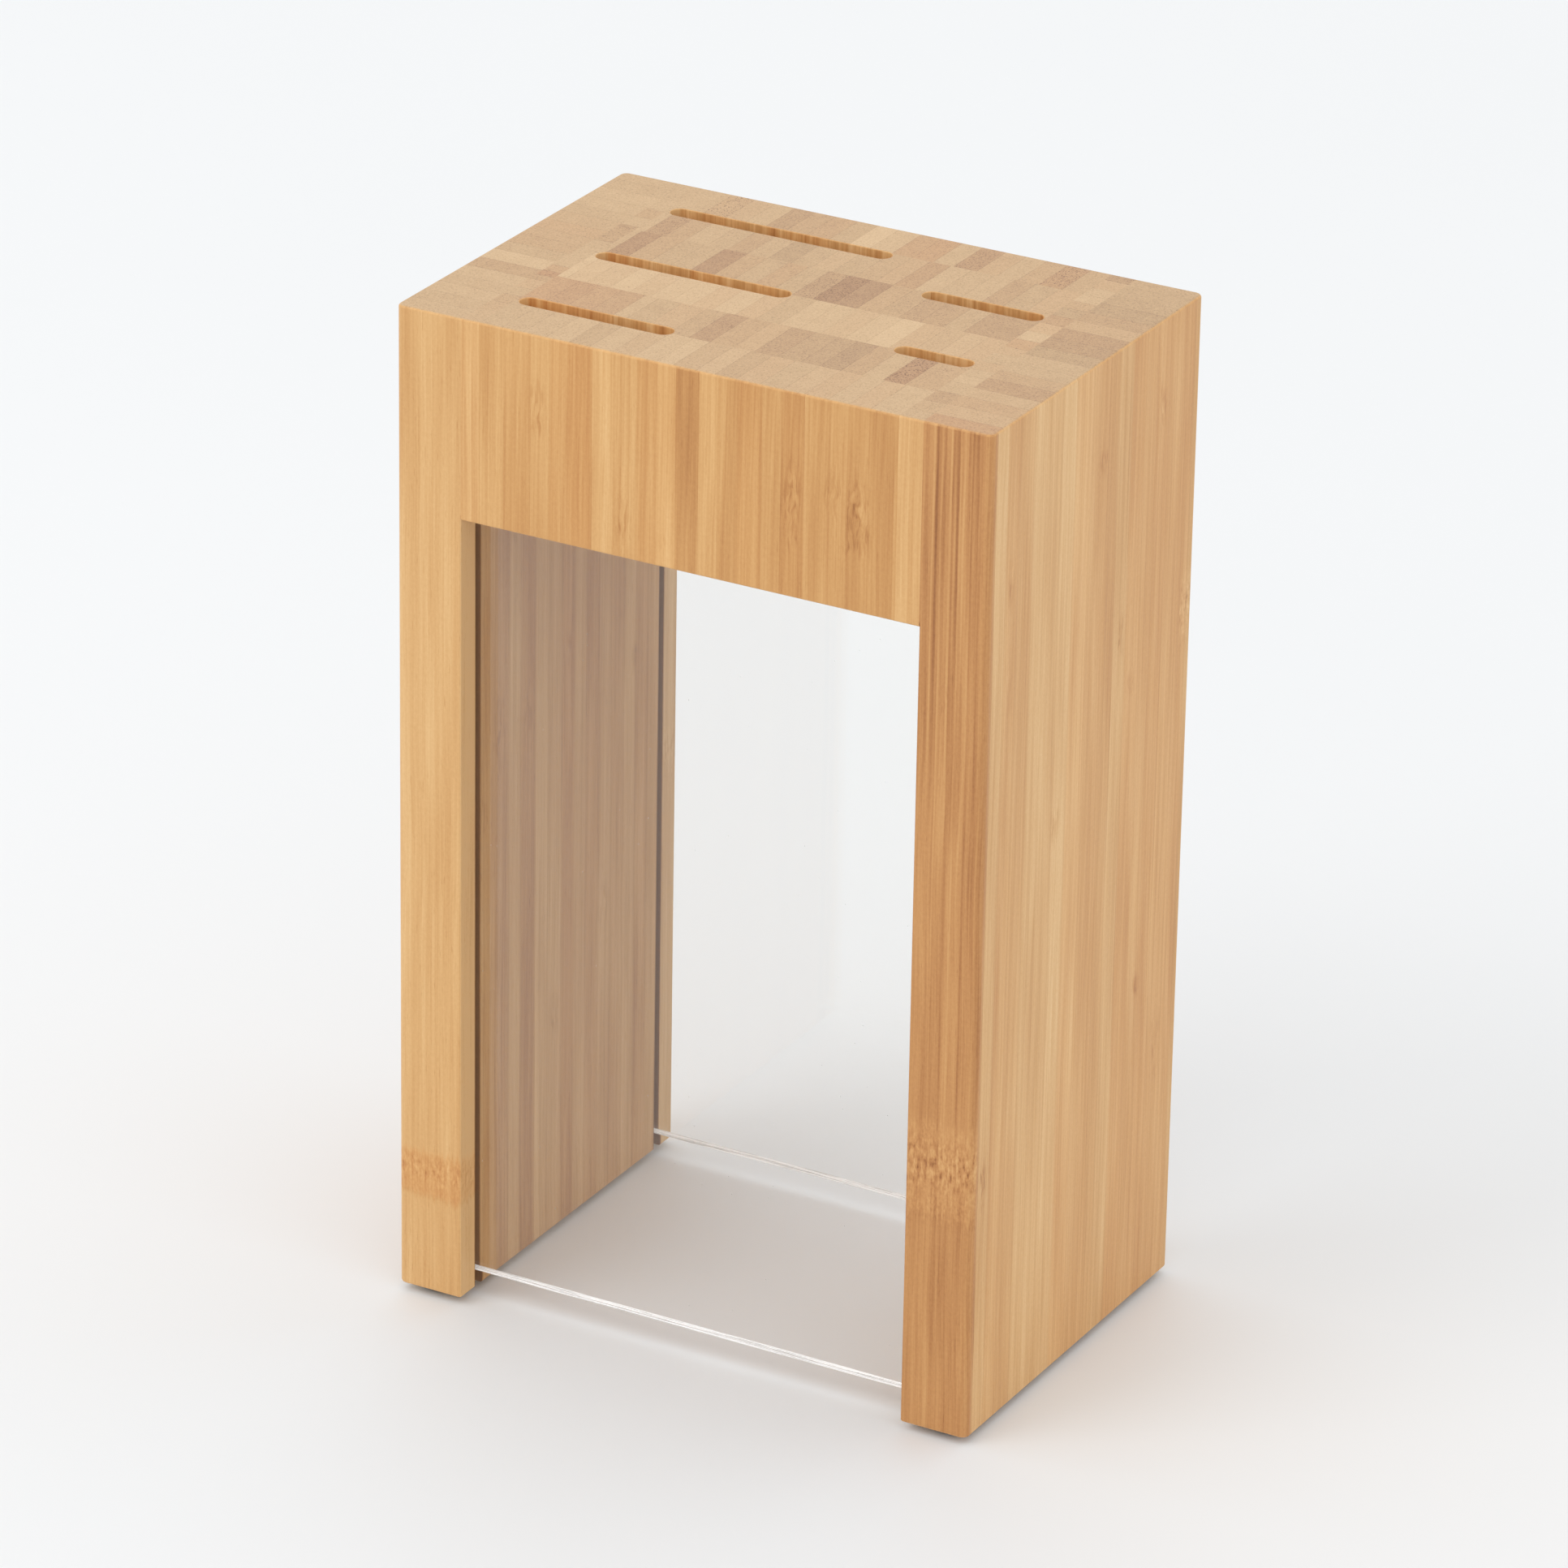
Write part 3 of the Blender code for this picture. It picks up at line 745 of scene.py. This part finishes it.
def foot(name, mat, top):
    (x0, y0, z0), (x1, y1, z1) = box_mm(name)
    cx, cy, r = (x0 + x1) / 2, (y0 + y1) / 2, (x1 - x0) / 2
    line = [(0.6, 0.35), (1.6, 0.15), (r - 1.4, 0.0), (r - 0.8, 0.06), (r - 0.3, 0.3), (r - 0.05, 0.75), (r, 1.1), (r - 0.05, top)]
    n = 48
    rings = [[(cx + q * cos(2 * pi * i / n), cy + q * sin(2 * pi * i / n), z0 + h) for i in range(n)] for q, h in line]
    return finish_mesh(name + "_pad", rings_to_bm(rings), mat)


def ready(ob, body, slot, *nodes):
    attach(ob, body)
    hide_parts(*nodes)
    return ob


ready(side_board("left_side_board", -1, mat_left), "block", "bamboo_board", "left_side_board")
ready(side_board("right_side_board", 1, mat_right), "block", "bamboo_board", "right_side_board")

(cx0, cy0, cz0), _ = box_mm("core_board_1")
_, (cx1, cy1, cz1) = box_mm("core_board_6")
cx0, cx1 = -57.0, 55.6
inner_l, inner_r = box_mm("left_side_board")[1][0], box_mm("right_side_board")[0][0]
joins = [cy0]
for i in range(1, 6):
    joins.append((box_mm(f"core_board_{i}")[1][1] + box_mm(f"core_board_{i + 1}")[0][1]) / 2)
joins.append(cy1)
SLOTS = ((-56.4, -14.8, -35.3), (-56.4, -3.3, 0.4), (-56.2, 4.7, 35.8), (34.6, 55.1, -16.7), (23.0, 55.1, 18.2))
cutters = [slot_cutter(f"slot_{i}", a, b, y, cz0, cz1) for i, (a, b, y) in enumerate(SLOTS)]
for i in range(6):
    name = f"core_board_{i + 1}"
    ob = header_bar(name + "_wood", cx0, cx1, joins[i], joins[i + 1], cz0, cz1, i == 0, i == 5, mats_core[name])
    near = [c for c, s in zip(cutters, SLOTS) if joins[i] - 3 < s[2] < joins[i + 1] + 3]
    if near:
        cut_with(ob, near)
    ready(ob, "block", "bamboo_core", name)
for c in cutters:
    bpy.data.objects.remove(c)
ready(header_bar("left_spacer_wood", inner_l, cx0, cy0, cy1, cz0, cz1, True, True, mat_spacer_l),
      "block", "bamboo_core", "left_spacer_strip")
ready(header_bar("right_spacer_wood", cx1, inner_r, cy0, cy1, cz0, cz1, True, True, mat_spacer_r),
      "block", "bamboo_core", "right_spacer_strip")

clear = acrylic("clear_acrylic_sheet")
cut_edge = acrylic_edge("clear_acrylic_edge")
ready(panel("front_panel", clear, cut_edge), "front_window", "clear_acrylic", "front_panel")
ready(panel("rear_panel", clear, cut_edge), "rear_window", "clear_acrylic", "rear_panel")

black = rubber("foot_rubber_black")
for where in ("front_left", "front_right", "rear_left", "rear_right"):
    ready(foot("foot_" + where, black, 2.0), "block", "foot_rubber", "foot_" + where)

# -------------------------------------------------------- floor, light, world
bm = bmesh.new()
bmesh.ops.create_grid(bm, x_segments=8, y_segments=8, size=9.0)
me = bpy.data.meshes.new("floor")
bm.to_mesh(me)
bm.free()
floor = bpy.data.objects.new("floor", me)
scene.collection.objects.link(floor)
floor.location = (0, 0, -0.00002)
me.materials.append(counter("pale_counter"))

world = bpy.data.worlds.new("world")
world.use_nodes = True
world.node_tree.nodes["Background"].inputs[0].default_value = (1.0, 1.0, 1.0, 1.0)
world.node_tree.nodes["Background"].inputs[1].default_value = 1.0
scene.world = world


def softbox(name, place, aim, size, power, colour=(1, 1, 1)):
    li = bpy.data.lights.new(name, "AREA")
    li.shape, li.size, li.size_y = "RECTANGLE", size[0], size[1]
    li.energy, li.color = power, colour
    ob = bpy.data.objects.new(name, li)
    scene.collection.objects.link(ob)
    ob.location = place
    ob.rotation_euler = (Vector(aim) - Vector(place)).to_track_quat("-Z", "Y").to_euler()
    return ob


softbox("key_left", (-1.15, -1.7, 1.9), (0, 0, 0.12), (1.4, 1.4), 11.0)
